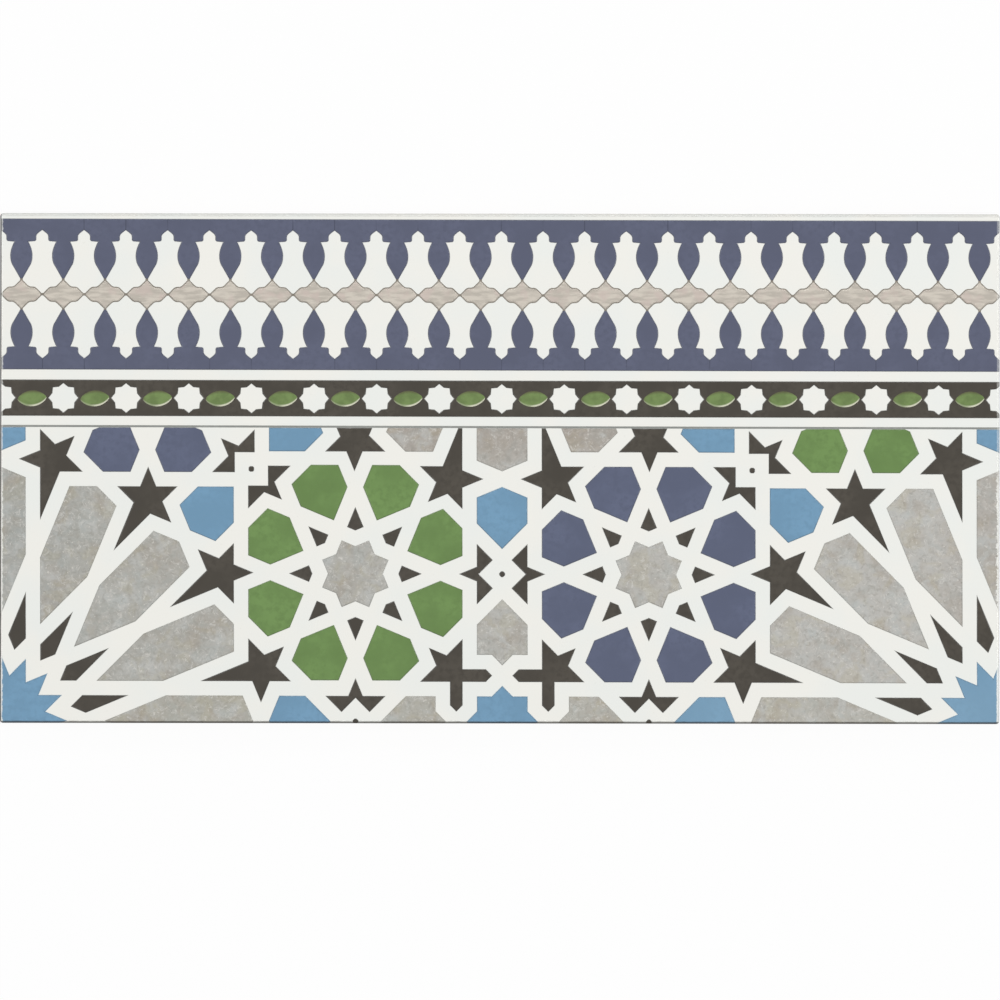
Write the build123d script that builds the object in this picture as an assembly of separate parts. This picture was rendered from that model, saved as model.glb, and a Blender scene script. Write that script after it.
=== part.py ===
from build123d import *
import math
import os

# Glazed ceramic border tile: one pressed and fired piece that lies on its back.
# The origin is the middle of the back. The length runs along X, and the glazed face looks up.

# Overall size in millimetres
tile_length = 280.0
tile_width = 142.8
tile_thickness = 8.0

# Edges: the sides lean in towards the back, in degrees, and the glaze rounds the rim of the face
side_draft = 1.5
face_edge_radius = 0.8
corner_ease = 0.2
back_edge_chamfer = 0.5

# Keyed back: shallow pockets that grip the mortar, between ribs and inside a plain rim
rim_width = 6.0
rib_width = 3.0
pocket_pitch = 27.0
pocket_depth = 0.8
pocket_draft = 30.0
pocket_corner_radius = 2.0

# The corners stay a little rounder than the rim of the face, so that the rim runs on round them
corner_radius = face_edge_radius + corner_ease

# Rounding the rim of a leaning side takes a little off each end, so the face is drawn larger by it
lean = math.radians(side_draft)
rounding_loss = face_edge_radius * ((1 + math.sin(lean)) / math.cos(lean) - 1)
face_length = tile_length + 2 * rounding_loss
face_width = tile_width + 2 * rounding_loss

# The back is smaller than the face by the lean of the sides
back_length = face_length - 2 * tile_thickness * math.tan(lean)
back_width = face_width - 2 * tile_thickness * math.tan(lean)


def pocket_columns(span):
    """The even number of pockets nearest to the pitch, which leaves a rib across the middle."""
    return max(2, 2 * round(span / (2 * pocket_pitch)))


def pocket_rows(span):
    """The number of pockets nearest to the pitch."""
    return max(1, round(span / pocket_pitch))


def pressed_blank():
    """The tile with a plain back: leaning sides, round corners, soft rim and chamfered back edge."""
    face_outline = Plane.XY.offset(tile_thickness) * RectangleRounded(face_length, face_width, corner_radius)
    blank = extrude(face_outline, amount=tile_thickness, dir=(0, 0, -1), taper=side_draft)
    face_rim = blank.faces().sort_by(Axis.Z)[-1].edges()
    blank = fillet(face_rim, face_edge_radius)
    back_rim = blank.faces().sort_by(Axis.Z)[0].edges()
    return chamfer(back_rim, back_edge_chamfer)


def key_pockets():
    """The shallow pockets of the back, each narrowing to its floor so that it leaves the die."""
    keyed_length = back_length - 2 * rim_width
    keyed_width = back_width - 2 * rim_width
    columns = pocket_columns(keyed_length + rib_width)
    rows = pocket_rows(keyed_width + rib_width)
    pitch_along = (keyed_length + rib_width) / columns
    pitch_across = (keyed_width + rib_width) / rows
    pocket_mouth = RectangleRounded(pitch_along - rib_width, pitch_across - rib_width, pocket_corner_radius)
    pocket = extrude(pocket_mouth, amount=pocket_depth, taper=pocket_draft)
    return [place * pocket for place in GridLocations(pitch_along, pitch_across, columns, rows)]


def border_tile():
    """The whole tile, one solid."""
    return pressed_blank() - key_pockets()


os.makedirs("parts", exist_ok=True)
export_step(border_tile(), "parts/border_tile.step")
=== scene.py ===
import math
import bmesh
import bpy
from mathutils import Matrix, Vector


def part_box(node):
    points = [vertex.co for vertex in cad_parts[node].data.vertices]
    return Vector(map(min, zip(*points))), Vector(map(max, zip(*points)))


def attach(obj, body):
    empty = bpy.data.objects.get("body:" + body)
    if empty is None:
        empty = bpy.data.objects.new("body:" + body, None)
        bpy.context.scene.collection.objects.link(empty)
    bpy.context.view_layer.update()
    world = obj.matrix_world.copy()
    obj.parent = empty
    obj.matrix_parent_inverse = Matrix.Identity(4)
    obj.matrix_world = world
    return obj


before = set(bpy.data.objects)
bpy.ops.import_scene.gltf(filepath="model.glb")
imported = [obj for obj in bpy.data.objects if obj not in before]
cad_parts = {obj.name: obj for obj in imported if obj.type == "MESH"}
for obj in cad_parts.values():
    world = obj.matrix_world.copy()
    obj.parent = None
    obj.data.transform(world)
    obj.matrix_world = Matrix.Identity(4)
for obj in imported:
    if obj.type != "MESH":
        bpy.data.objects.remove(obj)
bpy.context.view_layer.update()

# A glazed border tile, seen from straight above
# Sizes are in millimetres from the middle of the face, with X along the tile and Y towards the frieze

MM = 0.001

# The tile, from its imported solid, and the rounding of its rim and corners
low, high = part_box("border_tile")
half_length = (high[0] - low[0]) / 2 / MM
half_width = (high[1] - low[1]) / 2 / MM
face_height = high[2] / MM
rim_radius = 0.8
corner_radius = 1.0

# White glaze: how far it runs down the sides at most, and how much of that varies
glaze_run = 3.6
glaze_waver = 3.0

# Printed glaze: a thin film that thins out at its rim and runs down the rounded rim of the tile
film_height = 0.05
film_sink = 0.03
film_rim = 0.35
line_rim = 0.08
steepest_rim = 0.25
film_wrap = math.radians(80)
film_wrap_cuts = 5
weld_distance = 0.002
cut_tolerance = 1e-5
smallest_cell = 2.0
level_limit = 0.9999

# Curves of the outlines: steps of a curve and of a rounded corner, and how far a corner pulls its curve
curve_steps = 8
corner_steps = 4
corner_pull = 2 / 3

# Edge of a printed cell, from 0 inside to 1 at the edge: where it pools darker and where it bleeds to white
pool_rise = (0.0, 0.4)
pool_fall = (0.9, 0.5)
pool_shade = 0.6
bleed_rise = (0.45, 1.0)
bleed_strength = 0.4

# Ends of the tile: where the films pale to white on the rim as a painted highlight, how raggedly, and how
# strongly above and below
end_highlight = (1.0, 0.6)
left_ragged = 0.9
right_ragged = 0.4
grey_ragged = 2.4
end_rows = (2.0, -8.0)
end_strength = (0.25, 0.8)
left_strength = 0.5

# Painted shade on the rim of the face: its width and strength along each edge, its depth and its unevenness
left_rim_shade = (0.55, 0.9)
right_rim_shade = (0.35, 0.12)
lower_rim_shade = (0.75, 0.8)
upper_rim_shade = (1.1, 0.22)
rim_shade_depth = 1.0
rim_shade_ragged = 0.3
rim_shade_waver = 2.0
rim_shade_fade = (-0.2, 0.1)

# How the print sits on the fired tile: its drop to the right, its lean and bow, and the shift of each part
print_drop = -0.00126
print_lean = -0.00304
print_bow = 0.28
frieze_shift = 0.41
band_shift = 0.545
panel_shift = 0.18
panel_middle = -29.5

# Frieze of merlons: navy ground, white merlons that mirror each other, beige lozenges between them
frieze_axis = 48.55
frieze_top = 69.70
frieze_bottom = 27.40
merlon_pitch = 11.664
merlon_count = 24
merlon_tip = 17.86
head_width = 1.62
head_spring = 15.97
head_crown = (1.44, 1.02)
head_rise = 0.62
neck_radius = 0.6
shoulder_height = 14.75
shoulder_tip = (3.77, 14.60)
waist = (2.69, 10.78)
flare = (3.53, 7.7)
foot = (0.3, 4.2)
neck_steps = 5
shoulder_hollow = (3.2, 13.4)
waist_pull = (12.2, 9.2)
flare_hollow = (3.1, 8.3)
joint_width = 0.28
joint_edge = (0.7, 0.3)
joint_depth = 0.4
joint_shade = 0.5
lozenge_axis = 48.49
lozenge_half_height = 4.32
lozenge_shoulder = 2.15
lozenge_half_length = 5.95
lozenge_ease = 0.65
keyline_width = 0.27
keyline_neck = (0.38, 4.5)
keyline_crossing = 0.36
keyline_tip = 0.2

# Band of stars and eyes: dark ground, white eight-pointed stars, green eyes between them
band_top = 24.63
band_bottom = 14.42
band_axis = 19.5
star_pitch = 17.505
star_count = 16
star_radius = 4.05
star_notch = 3.29
eye_half_length = 4.55
eye_half_height = 2.5
eye_bluntness = 0.78
eye_turn = 4.0
eye_bulge = 0.12
eye_grid = (32, 14)
glint_width = 0.78

# Strapwork panel: distances of the straps from the middle of a rosette, and the thin line above it
inner_strap = 9.142
outer_strap = 67.458
cross_strap = 16.710
strap_half = 1.982
panel_origin = (-139.73, -70.86)
panel_stretch = (0.9961, 1.0033)
panel_turn = -0.038
line_axis = 11.60
line_width = 0.6
dot_half = 0.8
dot_ease = 0.75
link_notch_ease = 0.3
green_shift = 0.3

# Where the two middle straps of the small rosettes run
small_strap = (outer_strap * (math.sqrt(2) - 1) - inner_strap) / (2 - math.sqrt(2))
panel_repeat = inner_strap + outer_strap + 2 * small_strap
small_centre = (outer_strap + small_strap, inner_strap + small_strap)
small_distance = 2 * (inner_strap + small_strap)

# Zones of the grey and the sky blue: where each starts and is full, along X or Y, and its least and most
grey_upper = (-6.0, line_axis, 0.0, 0.95)
grey_right_end = (half_length - 22, half_length - 6, 0.0, 0.5)
grey_left_end = (30 - half_length, 8 - half_length, 0.0, 0.7)
grey_bottom = (10 - half_width, 6 - half_width, 0.0, 0.28)
sky_right = (20.0, 70.0)
sky_low = (-45.0, 3 - half_width, 0.0, 0.4)

# Unevenness of the printed glazes: sizes of clouds, grains, ripples and sheen, and the ripples' depth
cloud_size = 14.0
grain_size = 1.6
ripple_size = 3.0
ripple_depth = 0.015
sheen_size = 6.0
noise_roughness = 0.55

# Camera: straight above, with the width of the frame at the face, and the slight turn of the picture
camera_height = 2500.0
camera_reach = 50000.0
frame_width = 280.0
camera_aim = (0.08, -8.81)
camera_roll = 0.075
sensor_width = 36.0

# Studio: the floor, how far the tile laps over its opening, and how white it looks
floor_reach = 6000.0
opening_lap = 1.0
paper_tone = 0.8
paper_roughness = 0.9
floor_glow = 0.95

# Light: even light, and lamps with an angle round the tile, one above the floor, size and watts
ambient_light = 0.5
lamp_distance = 1600.0
lamps = (("back_lamp", 90, 45, (1200.0, 400.0), 7.2),
         ("right_lamp", 0, 45, (900.0, 400.0), 7.2),
         ("left_lamp", 180, 60, (900.0, 400.0), 5.2))

# Colours as they look, from 0 to 255
WHITE = (236, 237, 232)
WHITE_COOL = (234, 236, 232)
WHITE_WARM = (238, 237, 231)
WHITE_PIT = (214, 213, 206)
NAVY = (97, 103, 124)
FRIEZE_NAVY = (96, 100, 119)
SKY = (117, 154, 182)
SKY_PALE = (136, 168, 190)
GREEN = (111, 139, 86)
EYE_GREEN = (114, 134, 86)
# The eyes' painted shade and painted highlight
EYE_SHADE = (88, 78, 66)
CREAM = (232, 229, 211)
BLACK = (80, 76, 70)
GREY_LEFT = (170, 169, 163)
GREY_RIGHT = (184, 182, 177)
GREY_UPPER = (166, 159, 151)
GREY_LEFT_END = (163, 164, 160)
GREY_BOTTOM = (172, 169, 154)
GREY_BROWN = (165, 158, 148)
GREY_COOL = (186, 187, 184)
GREY_PALE = (200, 197, 191)
GREY_DARK = (146, 143, 136)
GREY_WISP = (206, 204, 198)
GREY_FLECK = (214, 211, 204)
BEIGE = (199, 192, 181)
BEIGE_ROSY = (200, 186, 178)
KEYLINE = (139, 132, 122)
LINE = (146, 148, 144)
# The colour of the painted shade along the rim of the face
RIM_SHADE = (70, 66, 62)
BISQUE = (205, 168, 138)
CLAY_DUST = (226, 206, 184)

# Tints that the grey is multiplied by, as linear values
WARM_TINT = (1.0, 0.98, 0.91, 1.0)
COOL_TINT = (0.97, 1.0, 1.01, 1.0)

# Gloss of the glazes, and what it adds to their pigment under the white studio, as a linear value
glaze_specular = 0.4
gloss_lift = 0.029


# Plane geometry: a line is the angle of its normal in degrees and its distance from the middle

def heading(degrees):
    """The unit vector at an angle."""
    angle = math.radians(degrees)
    return math.cos(angle), math.sin(angle)


def meet(first, second):
    """The point where two lines cross."""
    x1, y1 = heading(first[0])
    x2, y2 = heading(second[0])
    scale = x1 * y2 - x2 * y1
    return (first[1] * y2 - second[1] * y1) / scale, (x1 * second[1] - x2 * first[1]) / scale


def ring(lines):
    """The outline whose corners are the crossings of neighbouring lines."""
    return [meet(one, other) for one, other in zip(lines, lines[1:] + lines[:1])]


def turned(outline, degrees, centre=(0.0, 0.0)):
    """An outline turned about the origin and then moved to a centre."""
    c, s = heading(degrees)
    return [(centre[0] + c * x - s * y, centre[1] + s * x + c * y) for x, y in outline]


def mirrored(half):
    """A half outline that starts and ends on the X axis, closed by its mirror image."""
    return half + [(x, -y) for x, y in reversed(half[1:-1])]


def shifted(outline, x, y):
    """An outline moved by x and y."""
    return [(px + x, py + y) for px, py in outline]


def star(points, tip, notch, first):
    """A star of so many points, with the angle of its first tip."""
    step = 360 / points
    outline = []
    for k in range(points):
        for radius, angle in ((tip, first + step * k), (notch, first + step * (k + 0.5))):
            c, s = heading(angle)
            outline.append((radius * c, radius * s))
    return outline


def bezier(start, pull, push, end, steps=curve_steps):
    """Points on a cubic curve after its start, up to and with its end."""
    corners = (start, pull, push, end)
    points = []
    for k in range(1, steps + 1):
        t = k / steps
        weights = ((1 - t) ** 3, 3 * t * (1 - t) ** 2, 3 * t * t * (1 - t), t ** 3)
        points.append(tuple(sum(w * p[axis] for w, p in zip(weights, corners)) for axis in (0, 1)))
    return points


def toward(start, end, share):
    """The point a share of the way from one point to another."""
    return tuple(s + (e - s) * share for s, e in zip(start, end))


def eased(points, reach):
    """A line of points with its inner corners rounded, from a reach before each to a reach past it."""
    line = points[:1]
    for before, corner, after in zip(points, points[1:], points[2:]):
        start = toward(corner, before, reach / math.dist(corner, before))
        end = toward(corner, after, reach / math.dist(corner, after))
        line.append(start)
        pull = toward(start, corner, corner_pull)
        push = toward(end, corner, corner_pull)
        line += bezier(start, pull, push, end, corner_steps)
    return line + points[-1:]


# Cells of the strapwork, each pointing along X from the middle of its rosette

inside = inner_strap - strap_half
outside = inner_strap + strap_half
near_outer = outer_strap - strap_half
far_outer = outer_strap + strap_half
near_small = small_strap - strap_half
far_small = small_strap + strap_half


def secant(degrees):
    """One over the cosine of an angle."""
    return 1 / math.cos(math.radians(degrees))


def rosette_star():
    """The sixteen-pointed star in the middle of a large rosette."""
    return star(16, inside * secant(67.5), inside * secant(56.25), 0)


def rosette_kite():
    """A dark kite between two points of the large star."""
    return ring([(78.75, inside), (-78.75, inside), (56.25, outside), (-56.25, outside)])


def rosette_petal():
    """A long petal of the large rosette."""
    return ring([(22.5, near_outer), (90, inside), (-67.5, outside),
                 (67.5, outside), (-90, inside), (-22.5, near_outer)])


def tailed_star():
    """A dark star at the rim of the large rosette, with a tail between two petals."""
    return ring([(78.75, outside), (11.25, far_outer), (-33.75, near_outer), (78.75, outside),
                 (33.75, near_outer), (-33.75, near_outer), (-78.75, outside), (33.75, near_outer),
                 (-11.25, far_outer), (-78.75, outside)])


def rim_hexagon():
    """A blue hexagon at the rim of the large rosette."""
    return ring([(-22.5, far_outer), (90, inside), (45, near_outer),
                 (-45, near_outer), (-90, inside), (22.5, far_outer)])


def small_star():
    """The eight-pointed star in the middle of a small rosette."""
    return star(8, inside * math.sqrt(2), inside * secant(22.5), 22.5)


def small_kite():
    """A dark kite between two points of the small star."""
    return ring([(67.5, inside), (-67.5, inside), (22.5, outside), (-22.5, outside)])


def small_petal():
    """A petal of the small rosette."""
    return ring([(22.5, near_small), (90, inside), (-45, outside),
                 (45, outside), (-90, inside), (-22.5, near_small)])


def link():
    """A dark cell that points from a small rosette to its neighbour and ends in a notch."""
    neighbour = (135, far_small - small_distance * math.cos(math.radians(45)) - link_notch_ease)
    tail = (outside / math.sin(math.radians(22.5)), 0.0)
    notch = (neighbour[1] / math.cos(math.radians(135)), 0.0)
    return mirrored([tail, meet((-67.5, outside), (0, far_small)), meet((0, far_small), (45, near_small)),
                     meet((45, near_small), neighbour), notch])


def dot():
    """The small dark diamond between two small rosettes, with eased corners."""
    middle = small_distance / 2
    corners = []
    for k in range(4):
        c, s = heading(90 * k)
        for side in (-1, 1):
            along = dot_half * math.sqrt(2) * dot_ease
            across = side * dot_half * math.sqrt(2) * (1 - dot_ease)
            corners.append((middle + along * c - across * s, along * s + across * c))
    return corners


def crossing_star():
    """The blue eight-pointed star where the panel's middle straps cross."""
    return star(8, inside * math.sqrt(2), inside * secant(22.5), 0)


def crossing_house():
    """A pale cell with a gable, above the crossing."""
    floor_level = cross_strap + strap_half
    valley = outside * math.sqrt(2)
    ridge = math.sqrt(2) * (math.sqrt(2) * (inner_strap + small_strap) - far_small)
    half = floor_level - valley
    return [(inside, floor_level), (inside, ridge - inside), (0.0, ridge), (-inside, ridge - inside),
            (-inside, floor_level), (-half, floor_level), (0.0, valley), (half, floor_level)]


def corner_star():
    """The dark star in a corner of the crossing, with a tail towards the small rosette."""
    centre = inner_strap + small_strap

    def from_centre(degrees, distance):
        c, s = heading(degrees)
        return degrees, distance + (c + s) * centre

    tip = (centre * math.sqrt(2) - outside / math.sin(math.radians(22.5))) / math.sqrt(2)
    left_tail = from_centre(225 - 67.5, outside)
    right_tail = from_centre(225 + 67.5, outside)
    cap = from_centre(225, far_small)
    upright, level = (0, outside), (90, outside)
    upright_end, level_end = (0, cross_strap - strap_half), (90, cross_strap - strap_half)
    slope, rise, fall = (45, outside), (135, inside), (-45, inside)
    corners = [meet(right_tail, cap), meet(cap, upright), meet(upright, level_end), meet(level_end, rise),
               meet(rise, slope), meet(slope, level), meet(level, upright), meet(upright, slope),
               meet(slope, fall), meet(fall, upright_end), meet(upright_end, level), meet(level, cap),
               meet(cap, left_tail)]
    return [(tip, tip)] + corners


# The whole panel, as the outlines of each colour

def large_rosettes(cells):
    """Large rosettes at the two lower corners of the panel and above its middle."""
    for centre in ((0, 0), (2 * panel_repeat, 0), (panel_repeat, panel_repeat)):
        cells["sky_blue"].append(turned(rosette_star(), 0, centre))
        for k in range(16):
            cells["grey"].append(turned(rosette_petal(), 22.5 * k, centre))
            cells["black"].append(turned(rosette_kite(), 22.5 * k + 11.25, centre))
            cells["black"].append(turned(tailed_star(), 22.5 * k + 11.25, centre))
        for k in range(8):
            cells["sky_blue"].append(turned(rim_hexagon(), 45 * k, centre))


def small_rosettes(cells):
    """Small rosettes with green or navy petals, and the links from each to its neighbours."""
    x, y = small_centre
    right = 2 * panel_repeat
    places = [((x, y), "green", (0, 135, 270)), ((right - x, y), "navy", (180, 45, 270)),
              ((y, x), "navy", (315, 180)), ((right - y, x), "green", (225, 0))]
    for centre, petals, links in places:
        cells["grey"].append(turned(small_star(), 0, centre))
        for k in range(8):
            cells["black"].append(turned(small_kite(), 45 * k, centre))
            cells[petals].append(turned(small_petal(), 45 * k + 22.5, centre))
        for degrees in links:
            cells["black"].append(turned(link(), degrees, centre))
            cells["dot"].append(turned(dot(), degrees, centre))


def crossing(cells):
    """The crossing in the middle of the panel's lower edge."""
    centre = (panel_repeat, 0)
    cells["sky_blue"].append(turned(crossing_star(), 0, centre))
    for k in range(4):
        cells["grey"].append(turned(crossing_house(), 90 * k, centre))
        cells["black"].append(turned(corner_star(), 90 * k, centre))


def settled(outline, shift, middle):
    """An outline where the print sits on the tile: shifted, leaning about a middle, bowed and turned."""
    placed = []
    for x, y in outline:
        bow = print_bow * (x / half_length) ** 2
        placed.append((x + shift + print_lean * (y - middle) - bow, y + print_drop * x))
    return placed


def on_face(outline, lift=0.0):
    """An outline of the panel, placed on the tile's face."""
    stretched = [(x * panel_stretch[0], y * panel_stretch[1]) for x, y in outline]
    placed = turned(stretched, panel_turn, (panel_origin[0], panel_origin[1] + lift))
    return settled(placed, panel_shift, panel_middle)


def panel_cells():
    """The outlines of the panel by colour, on the tile's face."""
    cells = {colour: [] for colour in ("sky_blue", "grey", "black", "green", "navy", "dot")}
    large_rosettes(cells)
    small_rosettes(cells)
    crossing(cells)
    centres = set()
    for outline in cells.pop("dot"):
        middle = tuple(round(sum(p[axis] for p in outline) / len(outline)) for axis in (0, 1))
        if middle not in centres:
            centres.add(middle)
            cells["black"].append(outline)
    lifts = {"green": green_shift}
    return {name: [on_face(o, lifts.get(name, 0.0)) for o in cells[name]] for name in cells}


# The frieze and the band

def merlon_side():
    """The right side of a merlon from its tip down to its flare, above the frieze's axis."""
    tip = (0.0, merlon_tip)
    spring = (head_width, head_spring)
    side = [tip]
    crown = (head_crown[0], merlon_tip - head_crown[1])
    side += bezier(tip, crown, (head_width, head_spring + head_rise), spring)
    for k in range(neck_steps + 1):
        c, s = heading(180 + 90 * k / neck_steps)
        side.append((head_width + neck_radius * (1 + c), shoulder_height + neck_radius * (1 + s)))
    side += [shoulder_tip]
    side += bezier(shoulder_tip, shoulder_hollow, (waist[0], waist_pull[0]), waist)
    side += bezier(waist, (waist[0], waist_pull[1]), flare_hollow, flare)
    return side


def frieze_ground():
    """The navy ground, one outline for each stretch between two merlons, above and below the axis."""
    side = merlon_side()
    outlines = []
    for k in range(-1, merlon_count + 1):
        left = (k - merlon_count / 2) * merlon_pitch
        right = left + merlon_pitch
        middle = (left + right) / 2
        base = [(middle - foot[0], foot[1]), (middle + foot[0], foot[1])]
        lower = [(left + x, y) for x, y in side] + base + [(right - x, y) for x, y in reversed(side)]
        for direction, limit in ((1, frieze_top - frieze_axis), (-1, frieze_axis - frieze_bottom)):
            outline = [(left, limit)] + lower + [(right, limit)]
            placed = [(x, frieze_axis + direction * y) for x, y in outline]
            outlines.append(settled(placed, frieze_shift, frieze_axis))
    return outlines


def lozenge_side(inset, tip):
    """The upper right side of a lozenge, from its cut-off end to its top, moved in by an inset."""
    end = lozenge_half_length - inset * math.sqrt(2)
    top = lozenge_half_height - inset * math.sqrt(2)
    shoulder = lozenge_shoulder - inset
    slope = [(end - tip, tip), (end - shoulder, shoulder), (top - shoulder, shoulder), (0.0, top)]
    return [(end - tip, 0.0)] + eased(slope, lozenge_ease)


def upper_half(side):
    """The upper half of an outline from its upper right side, from the right end to the left one."""
    return side + [(-x, y) for x, y in reversed(side[:-1])]


def along_frieze(outline, beyond=0):
    """An outline between all the merlons, and so many times past each end, where the print sits."""
    places = [(k + 0.5 - merlon_count / 2) * merlon_pitch for k in range(-beyond, merlon_count + beyond)]
    return [settled(shifted(outline, x, lozenge_axis), frieze_shift, frieze_axis) for x in places]


def lozenges():
    """The fields of the lozenges, inside their keylines."""
    return along_frieze(mirrored(upper_half(lozenge_side(keyline_width, keyline_tip))))


def keylines():
    """The keylines round the lozenges, in two halves, each cut off at the next, with a neck to the navy."""
    reach = merlon_pitch / 2
    neck = keyline_neck[0]
    side = [(reach, 0.0), (reach, keyline_crossing)] + lozenge_side(0.0, keyline_crossing)[1:-1]
    side += [(neck, lozenge_half_height - neck), keyline_neck]
    outer = side + [(-x, y) for x, y in reversed(side)]
    inner = upper_half(lozenge_side(keyline_width, keyline_tip))
    half = outer + inner[::-1]
    return along_frieze(half, 1) + along_frieze([(x, -y) for x, y in half], 1)


def band_ground():
    """The dark ground of the band, one outline for each stretch between two stars."""
    points = star(8, star_radius, star_notch, -90)
    right_side = points[:9]
    floor_level = band_bottom - band_axis
    ceiling = band_top - band_axis
    outlines = []
    for k in range(-1, star_count + 1):
        left = (k - star_count / 2) * star_pitch
        right = left + star_pitch
        up = [(left + x, y) for x, y in right_side]
        down = [(right - x, y) for x, y in reversed(right_side)]
        top = [(left, ceiling), (right, ceiling)]
        outline = [(left, floor_level)] + up + top + down + [(right, floor_level)]
        outlines.append(settled(shifted(outline, 0.0, band_axis), band_shift, band_axis))
    return outlines


def strip(bottom, top):
    """A straight strip along the whole tile."""
    end = half_length + 2 * rim_radius
    return settled([(-end, bottom), (end, bottom), (end, top), (-end, top)], 0.0, bottom)


# Films of glaze: flat outlines, cut to the tile, closed into thin solids and laid over the rim

def signed_area(outline):
    """The area of an outline, above nought if it runs against the clock."""
    return sum(x1 * y2 - x2 * y1 for (x1, y1), (x2, y2) in zip(outline, outline[1:] + outline[:1])) / 2


def flat_mesh(outlines):
    """Flat faces that look up, welded where they meet."""
    mesh = bmesh.new()
    for outline in outlines:
        points = outline if signed_area(outline) > 0 else outline[::-1]
        mesh.faces.new([mesh.verts.new((x, y, 0.0)) for x, y in points])
    bmesh.ops.remove_doubles(mesh, verts=mesh.verts, dist=weld_distance)
    return mesh


def cut(mesh, place, direction, clear=False):
    """Cut a mesh along an upright plane, and take away what is past it if asked to."""
    everything = list(mesh.verts) + list(mesh.edges) + list(mesh.faces)
    bmesh.ops.bisect_plane(mesh, geom=everything, dist=cut_tolerance, plane_co=place, plane_no=direction,
                           clear_outer=clear)


def trim_to_tile(mesh):
    """Take away what runs past the end of the film on the tile's rim."""
    run_over = rim_radius * (film_wrap - 1)
    for sign in (-1, 1):
        cut(mesh, (sign * (half_length + run_over), 0, 0), (sign, 0, 0), clear=True)
        cut(mesh, (0, sign * (half_width + run_over), 0), (0, sign, 0), clear=True)


def cell_mesh(outlines, top=half_width + rim_radius):
    """Flat cells, cut off at the tile's rim and at a line along their top, without the smallest bits."""
    mesh = flat_mesh(outlines)
    trim_to_tile(mesh)
    cut(mesh, (0, top, 0), (-print_drop, 1, 0), clear=True)
    slivers = [face for face in mesh.faces if face.calc_area() < smallest_cell]
    bmesh.ops.delete(mesh, geom=slivers, context="FACES")
    return mesh


def raise_film(mesh, rim_width):
    """Close flat faces into thin solids with a sloping rim, and mark the rim in a layer of the points."""
    rim_layer = mesh.verts.layers.float.new("rim")
    for vert in mesh.verts:
        vert[rim_layer] = 1.0
    top = list(mesh.faces)
    lower = bmesh.ops.duplicate(mesh, geom=list(mesh.verts) + list(mesh.edges) + top)
    partner = lower["vert_map"]
    upper = set(top)
    for edge in [edge for edge in mesh.edges if edge.is_boundary and edge.link_faces[0] in upper]:
        first = edge.link_loops[0].vert
        second = edge.other_vert(first)
        mesh.faces.new((second, first, partner[first], partner[second]))
    lower_faces = [item for item in lower["geom"] if isinstance(item, bmesh.types.BMFace)]
    for face in lower_faces:
        face.normal_flip()
    for vert in [item for item in lower["geom"] if isinstance(item, bmesh.types.BMVert)]:
        vert.co.z = -film_sink
    bmesh.ops.inset_region(mesh, faces=top, thickness=rim_width, use_even_offset=True)
    for vert in {vert for face in top for vert in face.verts}:
        vert.co.z = min(film_height, rim_width * steepest_rim)
        vert[rim_layer] = 0.0


def over_the_rim(x, y, height):
    """A point of the print, laid on the face or down the tile's rounded rim and corners."""
    core = (half_length - corner_radius, half_width - corner_radius)
    past = [max(abs(p) - limit, 0.0) for p, limit in zip((x, y), core)]
    distance = math.hypot(*past)
    flat = corner_radius - rim_radius
    if distance <= flat:
        return x, y, height
    angle = (distance - flat) / rim_radius
    reach = flat + (rim_radius + height) * math.sin(angle)
    drop = (rim_radius + height) * math.cos(angle) - rim_radius
    laid = [math.copysign(min(abs(p), limit) + part * reach / distance, p)
            for p, limit, part in zip((x, y), core, past)]
    return laid[0], laid[1], drop


def lay_on_tile(mesh):
    """Cut the film into strips along the tile's rim and lay it down over the rim."""
    for sign in (-1, 1):
        for k in range(film_wrap_cuts):
            run = rim_radius * (film_wrap * k / film_wrap_cuts - 1)
            cut(mesh, (sign * (half_length + run), 0, 0), (sign, 0, 0))
            cut(mesh, (0, sign * (half_width + run), 0), (0, sign, 0))
    for vert in mesh.verts:
        x, y, z = over_the_rim(*vert.co)
        vert.co = (x, y, z + face_height)


def smooth_slopes(mesh):
    """Level faces stay flat, and sloping ones are shaded smooth."""
    mesh.normal_update()
    for face in mesh.faces:
        face.smooth = abs(face.normal.z) < level_limit


def add_object(name, data):
    """A new object in the scene."""
    new = bpy.data.objects.new(name, data)
    bpy.context.scene.collection.objects.link(new)
    return new


def add_mesh(name, mesh, material):
    """An object of a mesh in millimetres, with its material."""
    for vert in mesh.verts:
        vert.co = vert.co * MM
    data = bpy.data.meshes.new(name)
    mesh.to_mesh(data)
    mesh.free()
    data.materials.append(material)
    return add_object(name, data)


def add_piece(name, mesh, material):
    """A piece that rides on the tile."""
    piece = add_mesh(name, mesh, material)
    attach(piece, "root")


def add_film(name, mesh, material, rim_width=film_rim):
    """A film of glaze from a flat mesh."""
    trim_to_tile(mesh)
    raise_film(mesh, rim_width)
    lay_on_tile(mesh)
    smooth_slopes(mesh)
    add_piece(name, mesh, material)


def bead(along, across):
    """The height of an eye's upper side above the face."""
    return film_height / 2 + eye_bulge * (1 - along ** 2) * (1 - across ** 2)


def underside(along, across):
    """The height of an eye's lower side, the same all over it."""
    return -film_sink


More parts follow.
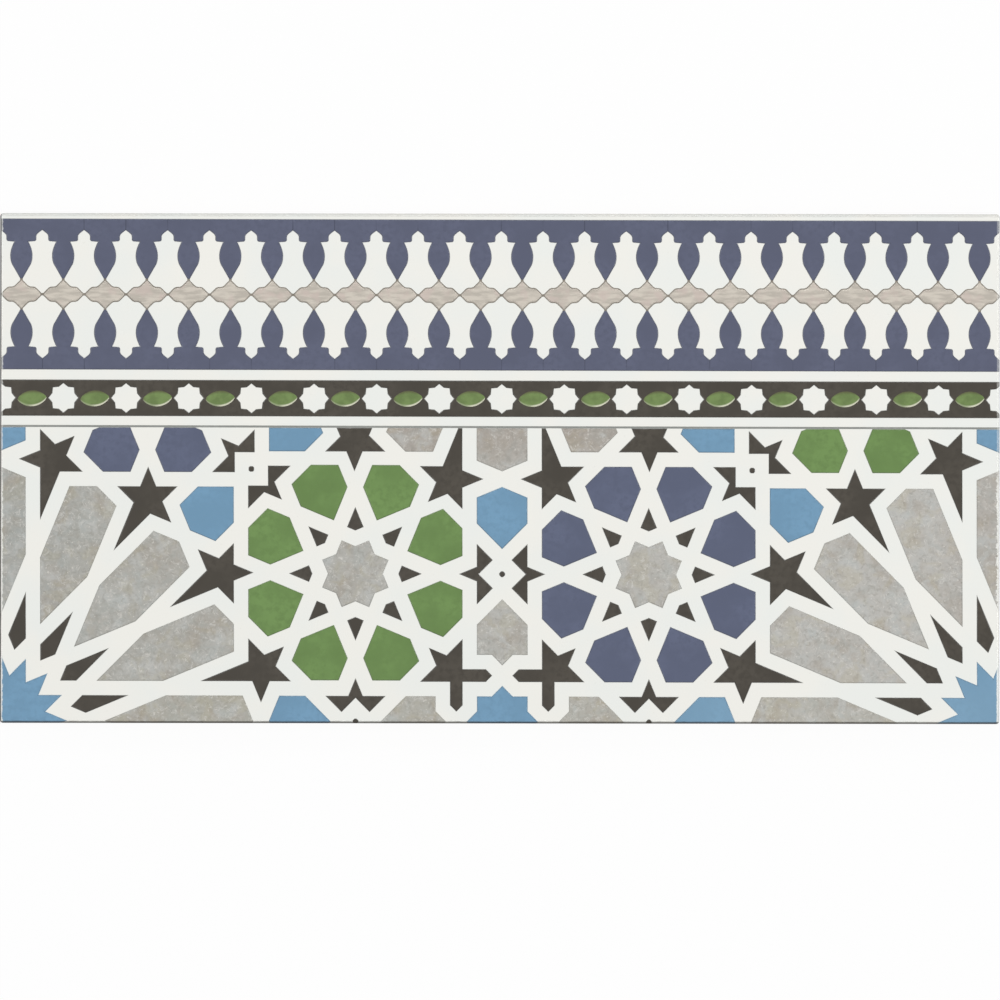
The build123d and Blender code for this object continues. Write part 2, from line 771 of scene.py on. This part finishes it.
def eye_sheet(mesh, place, height):
    """The points of one side of an eye, by column and row, with their places on the eye in layers."""
    columns, rows = eye_grid
    cosine, sine = heading(eye_turn)
    layers = mesh.verts.layers.float
    sheet = []
    for column in range(columns + 1):
        along = -math.cos(math.pi * column / columns)
        x = eye_half_length * along
        reach = eye_half_height * (1 - along ** 2) ** eye_bluntness if 0 < column < columns else 0.0
        points = []
        for row in range(rows + 1):
            across = -1 + 2 * row / rows
            y = reach * across
            spot = (place + cosine * x - sine * y, band_axis + sine * x + cosine * y)
            vert = mesh.verts.new((spot[0], spot[1], face_height + height(along, across)))
            vert[layers["along"]] = along
            vert[layers["across"]] = across
            vert[layers["above"]] = reach + y
            points.append(vert)
        sheet.append(points)
    return sheet


def close_eye(mesh, upper, lower):
    """The faces of an eye's two sides, and those between their edges."""
    columns, rows = eye_grid
    for sheet, flip in ((upper, False), (lower, True)):
        for c in range(columns):
            for r in range(rows):
                corners = [sheet[c][r], sheet[c + 1][r], sheet[c + 1][r + 1], sheet[c][r + 1]]
                mesh.faces.new(corners[::-1] if flip else corners)
    for c in range(columns):
        for r, flip in ((0, True), (rows, False)):
            corners = [upper[c][r], upper[c + 1][r], lower[c + 1][r], lower[c][r]]
            mesh.faces.new(corners[::-1] if flip else corners)


def eye_mesh():
    """The eyes, each a low bead, with the places of its points on it in layers."""
    mesh = bmesh.new()
    for name in ("along", "across", "above"):
        mesh.verts.layers.float.new(name)
    for k in range(star_count):
        middle = (k + 0.5 - star_count / 2) * star_pitch
        place = settled([(middle, band_axis)], band_shift, band_axis)[0][0]
        close_eye(mesh, eye_sheet(mesh, place, bead), eye_sheet(mesh, place, underside))
    bmesh.ops.remove_doubles(mesh, verts=mesh.verts, dist=weld_distance)
    bmesh.ops.dissolve_degenerate(mesh, edges=mesh.edges, dist=weld_distance / 2)
    for face in mesh.faces:
        face.smooth = True
    return mesh


# Materials

def linear(colour, amount=1.0):
    """The pigment, as linear values, of a glaze that looks like a colour made lighter or darker."""
    looks = [min(255, c * amount) / 255 for c in colour]
    parts = [((look + 0.055) / 1.055) ** 2.4 for look in looks]
    return tuple(max(part - gloss_lift, 0.0) for part in parts) + (1.0,)


class Shader:
    """A material's nodes, with short names for the few kinds that the glazes need."""

    def __init__(self, name):
        self.material = bpy.data.materials.new(name)
        self.material.use_nodes = True
        self.tree = self.material.node_tree
        self.surface = self.tree.nodes["Principled BSDF"]
        self.place = self.node("ShaderNodeTexCoord").outputs["Object"]

    def node(self, kind, inputs=None, **settings):
        """A new node, with its settings and with what feeds its inputs."""
        new = self.tree.nodes.new(kind)
        for name, value in settings.items():
            setattr(new, name, value)
        for name, value in (inputs or {}).items():
            self.feed(new.inputs[name], value)
        return new

    def feed(self, socket, value):
        """Link a socket to an output, or set it to a plain value."""
        if isinstance(value, bpy.types.NodeSocket):
            self.tree.links.new(value, socket)
        else:
            socket.default_value = value

    def math(self, operation, first, second=0.0, third=0.0):
        new = self.node("ShaderNodeMath", operation=operation)
        for socket, value in zip(new.inputs, (first, second, third)):
            self.feed(socket, value)
        return new.outputs[0]

    def ramp(self, value, start, end, low=0.0, high=1.0):
        """A smooth step of a value from start to end."""
        inputs = {"Value": value, "From Min": start, "From Max": end, "To Min": low, "To Max": high}
        return self.node("ShaderNodeMapRange", inputs, interpolation_type="SMOOTHSTEP").outputs["Result"]

    def noise(self, size, detail=3.0, stretch=(1, 1, 1), offset=0.0, swirl=0.0):
        """Noise whose lumps are about so many millimetres across, drawn into wisps by a swirl."""
        place = {"Vector": self.place, "Location": (offset, offset * 1.7, offset * 0.6),
                 "Scale": tuple(s / (size * MM) for s in stretch)}
        mapping = self.node("ShaderNodeMapping", place)
        inputs = {"Vector": mapping.outputs["Vector"], "Scale": 1.0, "Detail": detail,
                  "Roughness": noise_roughness, "Distortion": swirl}
        return self.node("ShaderNodeTexNoise", inputs).outputs["Fac"]

    def patches(self, size, start, end, most=1.0, least=0.0, **texture):
        """Noise of a size, that rises from least to most where the noise goes from start to end."""
        return self.ramp(self.noise(size, **texture), start, end, least, most)

    def mix(self, factor, first, second, blend="MIX"):
        inputs = {"Fac": factor, "Color1": first, "Color2": second}
        return self.node("ShaderNodeMixRGB", inputs, blend_type=blend).outputs["Color"]

    def attribute(self, name):
        return self.node("ShaderNodeAttribute", attribute_name=name).outputs["Fac"]

    def axis(self, name):
        """The place along one axis of the tile, in millimetres."""
        split = self.node("ShaderNodeSeparateXYZ", {"Vector": self.place})
        return self.math("DIVIDE", split.outputs[name], MM)

    def highlight_at_ends(self, tone, right_spread=right_ragged):
        """A tone paled toward white on the rim at the tile's two ends, along a ragged line, as a painted
        highlight.
        """
        along = self.axis("X")
        edge = self.math("SUBTRACT", half_length, self.math("ABSOLUTE", along))
        spread = self.ramp(along, -1.0, 1.0, left_ragged, right_spread)
        waver = self.math("SUBTRACT", self.noise(0.9, 2.0, offset=31), 0.5)
        ragged = self.math("MULTIPLY", waver, spread)
        near = self.ramp(self.math("ADD", edge, ragged), *end_highlight)
        lower = self.ramp(self.axis("Y"), *end_rows, *end_strength)
        left = self.ramp(along, 1.0, -1.0)
        strength = self.math("MAXIMUM", self.math("MULTIPLY", left, left_strength), lower)
        return self.mix(self.math("MULTIPLY", near, strength), tone, linear(WHITE))

    def painted_rim_shade(self):
        """How much shade is painted on the rim, most along the lower edge and the left end."""
        waver = self.noise(2.0, 3.0, offset=41)
        ragged = self.math("MULTIPLY_ADD", waver, rim_shade_ragged, -rim_shade_ragged / 2)
        edges = (("X", 1, half_length, left_rim_shade), ("X", -1, half_length, right_rim_shade),
                 ("Y", 1, half_width, lower_rim_shade), ("Y", -1, half_width, upper_rim_shade))
        amount = 0.0
        for axis, side, limit, (width, strength) in edges:
            near = self.math("MULTIPLY_ADD", self.axis(axis), side, limit)
            near = self.math("MULTIPLY_ADD", ragged, width, near)
            amount = self.math("MAXIMUM", amount, self.ramp(near, width, width / 2, 0.0, strength))
        lowest = self.math("MULTIPLY_ADD", ragged, rim_shade_waver, face_height - rim_shade_depth)
        above = self.math("SUBTRACT", self.axis("Z"), lowest)
        return self.math("MULTIPLY", amount, self.ramp(above, *rim_shade_fade))

    def soft_edge(self, tone, colour, pool):
        """A tone that pools darker inside the edge of its cell and bleeds into white at the edge."""
        rim = self.attribute("rim")
        pooled = self.math("MULTIPLY", self.ramp(rim, *pool_rise, 0.0, pool), self.ramp(rim, *pool_fall))
        tone = self.mix(pooled, tone, linear(colour, pool_shade))
        return self.mix(self.ramp(rim, *bleed_rise, 0.0, bleed_strength), tone, linear(WHITE))

    def bump(self, height, distance):
        """A relief of the surface, with its depth in millimetres."""
        new = self.node("ShaderNodeBump", {"Height": height, "Distance": distance * MM})
        self.feed(self.surface.inputs["Normal"], new.outputs["Normal"])

    def finish(self, colour, roughness):
        """Paint shade on the rim, over the colour and the gloss, and give the material."""
        painted_rim_shade = self.painted_rim_shade()
        self.feed(self.surface.inputs["Base Color"], self.mix(painted_rim_shade, colour, linear(RIM_SHADE)))
        self.feed(self.surface.inputs["Roughness"], self.math("MAXIMUM", roughness, painted_rim_shade))
        self.surface.inputs["Specular IOR Level"].default_value = glaze_specular
        return self.material


def with_joints(shader, tone):
    """The tone of the frieze's ground, darker in thin joints of uneven depth over the merlons' tips."""
    along = shader.axis("X")
    bow = shader.math("MULTIPLY", shader.math("MULTIPLY", along, along), print_bow / half_length ** 2)
    upright = frieze_shift - print_lean * frieze_axis
    lean = shader.math("MULTIPLY_ADD", shader.axis("Y"), print_lean, upright)
    place = shader.math("SUBTRACT", shader.math("ADD", along, bow), lean)
    distance = shader.math("PINGPONG", place, merlon_pitch / 2)
    near = shader.ramp(distance, joint_width * joint_edge[0], joint_width * joint_edge[1])
    depth = shader.patches(9.0, 0.35, 0.65, most=joint_depth, detail=2.0, offset=27)
    return shader.mix(shader.math("MULTIPLY", near, depth), tone, linear(FRIEZE_NAVY, joint_shade))


def paler_corner(shader, tone):
    """The tone of the sky blue, paler towards the lower right corner."""
    right = shader.ramp(shader.axis("X"), *sky_right)
    low = shader.ramp(shader.axis("Y"), *sky_low)
    return shader.mix(shader.math("MULTIPLY", right, low), tone, linear(SKY_PALE))


def glaze(name, colour, mottle, offset, speckle=0.03, pool=0.45, change=None):
    """A glossy printed glaze, uneven in depth and darker at its rim, with its own change to the tone."""
    shader = Shader(name)
    clouds = shader.patches(cloud_size, 0.35, 0.65, offset=offset)
    tone = shader.mix(clouds, linear(colour, 1 - mottle), linear(colour, 1 + mottle))
    grains = shader.patches(grain_size, 0.40, 0.70, detail=4.0, offset=offset + 3)
    tone = shader.mix(grains, tone, linear(colour, 1 - speckle))
    if change:
        tone = change(shader, tone)
    tone = shader.highlight_at_ends(shader.soft_edge(tone, colour, pool))
    shader.bump(shader.noise(ripple_size, 2.0, offset=offset + 7), ripple_depth)
    gloss = shader.patches(sheen_size, 0.3, 0.7, most=0.26, least=0.16, offset=offset + 9)
    return shader.finish(tone, gloss)


def grey_by_place(shader):
    """Grey, lighter to the right, with tones of its own along the top, the ends and the bottom."""
    drift = shader.ramp(shader.axis("X"), -half_length, half_length)
    tone = shader.mix(drift, linear(GREY_LEFT), linear(GREY_RIGHT))
    upper = shader.ramp(shader.axis("Y"), *grey_upper)
    right_end = shader.ramp(shader.axis("X"), *grey_right_end)
    tone = shader.mix(shader.math("MAXIMUM", upper, right_end), tone, linear(GREY_UPPER))
    left_end = shader.ramp(shader.axis("X"), *grey_left_end)
    tone = shader.mix(left_end, tone, linear(GREY_LEFT_END))
    bottom = shader.ramp(shader.axis("Y"), *grey_bottom)
    return shader.mix(bottom, tone, linear(GREY_BOTTOM))


def grey_patches(shader, tone):
    """The grey with brown and cool patches, and with a warm or cool tint in others."""
    brown = shader.patches(8.0, 0.46, 0.68, most=0.6, detail=5.0, offset=5, swirl=0.5)
    tone = shader.mix(brown, tone, linear(GREY_BROWN))
    cool = shader.patches(6.0, 0.48, 0.68, most=0.7, detail=5.0, offset=15, swirl=0.5)
    tone = shader.mix(cool, tone, linear(GREY_COOL))
    tint = shader.noise(6.0, 4.0, offset=25, swirl=0.8)
    tone = shader.mix(shader.ramp(tint, 0.50, 0.64), tone, WARM_TINT, "MULTIPLY")
    return shader.mix(shader.ramp(tint, 0.50, 0.36), tone, COOL_TINT, "MULTIPLY")


def grey_grain(shader, tone):
    """The grey with a fine mottle, pale wisps along broken contours, and pale flecks."""
    mottle = shader.noise(1.3, 3.0, offset=12, swirl=1.0)
    tone = shader.mix(shader.ramp(mottle, 0.50, 0.74, 0.0, 0.35), tone, linear(GREY_PALE))
    tone = shader.mix(shader.ramp(mottle, 0.50, 0.28, 0.0, 0.45), tone, linear(GREY_DARK))
    swirls = shader.noise(2.4, 2.0, offset=18, swirl=1.2)
    contour = shader.math("ABSOLUTE", shader.math("SUBTRACT", swirls, 0.5))
    broken = shader.patches(2.0, 0.46, 0.62, most=0.6, detail=2.0, offset=22)
    wisps = shader.math("MULTIPLY", shader.ramp(contour, 0.04, 0.005), broken)
    tone = shader.mix(wisps, tone, linear(GREY_WISP))
    flecks = shader.patches(0.9, 0.68, 0.75, most=0.5, detail=1.0, offset=8)
    return shader.mix(flecks, tone, linear(GREY_FLECK))


def mottled_grey():
    """The pale cells: grey like worn stone, in patches and with a fine grain."""
    shader = Shader("grey_stone_glaze")
    tone = grey_grain(shader, grey_patches(shader, grey_by_place(shader)))
    tone = shader.highlight_at_ends(shader.soft_edge(tone, GREY_LEFT, 0.25), grey_ragged)
    shader.bump(shader.noise(1.6, 4.0, offset=2), 0.02)
    return shader.finish(tone, shader.patches(5.0, 0.3, 0.7, most=0.34, least=0.22, offset=4))


def streaked_beige():
    """The lozenges: beige drawn out in streaks along the tile."""
    shader = Shader("streaked_beige_glaze")
    streaks = shader.patches(1.0, 0.38, 0.64, stretch=(0.22, 1, 1), offset=2)
    tone = shader.mix(streaks, linear(BEIGE, 0.93), linear(BEIGE, 1.04))
    rosy = shader.patches(4.0, 0.48, 0.68, most=0.7, detail=2.0, offset=6)
    tone = shader.highlight_at_ends(shader.mix(rosy, tone, linear(BEIGE_ROSY)))
    shader.bump(shader.noise(2.0, 2.0, offset=3), 0.012)
    return shader.finish(tone, shader.patches(5.0, 0.3, 0.7, most=0.28, least=0.18, offset=4))


def eye_glaze():
    """The eyes: green with painted shade darkening its upper rim and left end, and a painted cream
    highlight along the lower right.
    """
    shader = Shader("eye_glaze")
    clouds = shader.patches(3.0, 0.35, 0.65, offset=4)
    tone = shader.mix(clouds, linear(EYE_GREEN, 0.95), linear(EYE_GREEN, 1.06))
    along = shader.attribute("along")
    # Painted shade on each bead: darker to the upper rim and at the left end
    upper = shader.ramp(shader.attribute("across"), 0.45, 1.0, 0.0, 0.85)
    dark = shader.math("MAXIMUM", upper, shader.ramp(along, -0.65, -1.0, 0.0, 0.7))
    tone = shader.mix(dark, tone, linear(EYE_SHADE))
    # Painted highlight: a cream glint along the lower right of each bead
    lower = shader.ramp(shader.attribute("above"), glint_width * 1.2, glint_width * 0.7)
    right = shader.ramp(along, -0.35, 0.15, 0.22, 0.75)
    tone = shader.mix(shader.math("MULTIPLY", lower, right), tone, linear(CREAM))
    shader.bump(shader.noise(2.0, 2.0, offset=3), 0.01)
    return shader.finish(tone, shader.patches(5.0, 0.3, 0.7, most=0.24, least=0.16, offset=4))


def white_glaze(shader):
    """The white of the face, a little cloudy and pitted."""
    clouds = shader.patches(25.0, 0.35, 0.65, offset=3)
    white = shader.mix(clouds, linear(WHITE_COOL), linear(WHITE_WARM))
    pits = shader.patches(0.9, 0.70, 0.78, most=0.25, detail=2.0, offset=9)
    return shader.mix(pits, white, linear(WHITE_PIT))


def fired_clay(shader):
    """The bare clay of the sides and the back, with grog, dark specks and dust."""
    grog = shader.patches(1.2, 0.35, 0.70, detail=5.0, offset=5)
    clay = shader.mix(grog, linear(BISQUE, 0.90), linear(BISQUE, 1.06))
    specks = shader.patches(0.7, 0.66, 0.74, most=0.6, detail=2.0, offset=11)
    clay = shader.mix(specks, clay, linear(BISQUE, 0.62))
    dust = shader.patches(30.0, 0.45, 0.70, most=0.45, detail=4.0, offset=21)
    return shader.mix(dust, clay, linear(CLAY_DUST))


def tile_body():
    """White glaze on the face and over the rim, and bare fired clay on the sides and the keyed back."""
    shader = Shader("white_glaze_on_clay")
    ragged = shader.noise(5.0, 4.0, stretch=(1, 1, 0.2), offset=6)
    edge = shader.math("MULTIPLY_ADD", ragged, glaze_waver, face_height - glaze_run)
    glazed = shader.ramp(shader.math("SUBTRACT", shader.axis("Z"), edge), -0.06, 0.06)
    tone = shader.mix(glazed, fired_clay(shader), white_glaze(shader))
    gloss = shader.ramp(glazed, 0.0, 1.0, 0.85, 0.2)
    waves = shader.math("MULTIPLY", shader.noise(3.5, 2.0, offset=7), 0.4)
    grain = shader.noise(0.5, 4.0, offset=13)
    rough = shader.math("MULTIPLY", shader.math("SUBTRACT", 1.0, glazed), grain)
    shader.bump(shader.math("ADD", shader.math("MULTIPLY", waves, glazed), rough), 0.04)
    return shader.finish(tone, gloss)


# The dressed tile

def dress_panel(black):
    """The strapwork panel, one film for each colour, and the thin line above it."""
    navy = glaze("navy_glaze", NAVY, mottle=0.035, offset=1)
    sky = glaze("sky_blue_glaze", SKY, mottle=0.025, offset=2, change=paler_corner)
    green = glaze("green_glaze", GREEN, mottle=0.05, offset=3)
    cells = panel_cells()
    panel_top = line_axis - line_width / 2
    films = {"sky_blue": sky, "grey": mottled_grey(), "black": black, "green": green, "navy": navy}
    for colour, material in films.items():
        mesh = cell_mesh(cells[colour], panel_top)
        add_film("panel_" + colour, mesh, material)
    line = flat_mesh([strip(panel_top, line_axis + line_width / 2)])
    line_glaze = glaze("line_glaze", LINE, mottle=0.03, offset=5, pool=0.2)
    add_film("panel_line", line, line_glaze, line_rim)


def dress_band(black):
    """The dark ground of the band and its eyes."""
    add_film("band_ground", cell_mesh(band_ground()), black)
    add_piece("band_eyes", eye_mesh(), eye_glaze())


def dress_frieze():
    """The navy ground of the frieze, the keylines and the lozenges."""
    navy = glaze("frieze_navy_glaze", FRIEZE_NAVY, mottle=0.03, offset=7, change=with_joints)
    keyline_glaze = glaze("keyline_glaze", KEYLINE, mottle=0.05, speckle=0.08, offset=6, pool=0.2)
    add_film("frieze_ground", cell_mesh(frieze_ground()), navy)
    add_film("frieze_keylines", flat_mesh(keylines()), keyline_glaze, line_rim)
    add_film("frieze_lozenges", flat_mesh(lozenges()), streaked_beige())


def dress_tile():
    """Glaze the tile's own solid and lay the printed films on it."""
    body = bpy.data.objects["border_tile"]
    body.data.materials.clear()
    body.data.materials.append(tile_body())
    black = glaze("black_glaze", BLACK, mottle=0.06, speckle=0.05, offset=4)
    dress_panel(black)
    dress_band(black)
    dress_frieze()


# Floor, light and camera

def light_switch(tree):
    """One for the rays from the camera and for mirrored and transmitted ones, else nought."""
    path = tree.nodes.new("ShaderNodeLightPath")
    total = path.outputs["Is Camera Ray"]
    for name in ("Is Glossy Ray", "Is Transmission Ray"):
        larger = tree.nodes.new("ShaderNodeMath")
        larger.operation = "MAXIMUM"
        tree.links.new(total, larger.inputs[0])
        tree.links.new(path.outputs[name], larger.inputs[1])
        total = larger.outputs[0]
    return total


def blend(tree, share, shaders, output):
    """Blend two shaders by a share, and put them out as the surface."""
    new = tree.nodes.new("ShaderNodeMixShader")
    sources = [share] + [shader.outputs[0] for shader in shaders]
    for source, socket in zip(sources, new.inputs):
        tree.links.new(source, socket)
    tree.links.new(new.outputs["Shader"], tree.nodes[output].inputs["Surface"])


def floor_mesh():
    """A wide square with an opening under the tile, so that the back shows from below."""
    mesh = bmesh.new()
    opening = (half_length - opening_lap, half_width - opening_lap)
    signs = ((-1, -1), (1, -1), (1, 1), (-1, 1))
    rings = []
    for x, y in ((floor_reach, floor_reach), opening):
        rings.append([mesh.verts.new((sx * x, sy * y, 0.0)) for sx, sy in signs])
    outer, inner = rings
    for k in range(4):
        after = (k + 1) % 4
        mesh.faces.new((outer[k], outer[after], inner[after], inner[k]))
    return mesh


def floor_paper():
    """White paper that looks nearly even to the camera and keeps a soft shadow."""
    material = bpy.data.materials.new("floor")
    material.use_nodes = True
    tree = material.node_tree
    paper = tree.nodes["Principled BSDF"]
    paper.inputs["Base Color"].default_value = (paper_tone, paper_tone, paper_tone, 1.0)
    paper.inputs["Roughness"].default_value = paper_roughness
    paper.inputs["Specular IOR Level"].default_value = 0.0
    glow = tree.nodes.new("ShaderNodeEmission")
    share = tree.nodes.new("ShaderNodeMath")
    share.operation = "MULTIPLY"
    share.inputs[1].default_value = floor_glow
    tree.links.new(light_switch(tree), share.inputs[0])
    blend(tree, share.outputs[0], (paper, glow), "Material Output")
    return material


def add_floor():
    """The white floor."""
    floor = add_mesh("floor", floor_mesh(), floor_paper())


def add_world():
    """Even light from all round, and white where the camera or a mirrored ray sees it."""
    world = bpy.data.worlds.new("studio")
    bpy.context.scene.world = world
    world.use_nodes = True
    tree = world.node_tree
    even = tree.nodes["Background"]
    white = tree.nodes.new("ShaderNodeBackground")
    for background, strength in ((even, ambient_light), (white, 1.0)):
        background.inputs["Color"].default_value = (1.0, 1.0, 1.0, 1.0)
        background.inputs["Strength"].default_value = strength
    blend(tree, light_switch(tree), (even, white), "World Output")


def add_lamp(name, azimuth, elevation, size, power):
    """A flat lamp that looks at the tile, from an angle round it and an angle above the floor."""
    data = bpy.data.lights.new(name, "AREA")
    data.shape = "RECTANGLE"
    data.size = size[0] * MM
    data.size_y = size[1] * MM
    data.energy = power
    lamp = add_object(name, data)
    c, s = heading(azimuth)
    flat, up = heading(elevation)
    distance = lamp_distance * MM
    lamp.location = (distance * flat * c, distance * flat * s, distance * up)
    lamp.rotation_euler = (math.radians(90 - elevation), 0.0, math.radians(azimuth + 90))


def add_camera():
    """A long lens straight above, with the tile across the whole width of the frame."""
    data = bpy.data.cameras.new("camera")
    data.sensor_fit = "HORIZONTAL"
    data.sensor_width = sensor_width
    data.lens = sensor_width * (camera_height - face_height) / frame_width
    data.clip_end = camera_reach * MM
    camera = add_object("camera", data)
    camera.location = (camera_aim[0] * MM, camera_aim[1] * MM, camera_height * MM)
    camera.rotation_euler = (0.0, 0.0, math.radians(camera_roll))
    bpy.context.scene.camera = camera


dress_tile()
add_floor()
add_world()
for lamp in lamps:
    add_lamp(*lamp)
add_camera()

bpy.context.scene.view_settings.view_transform = "Standard"
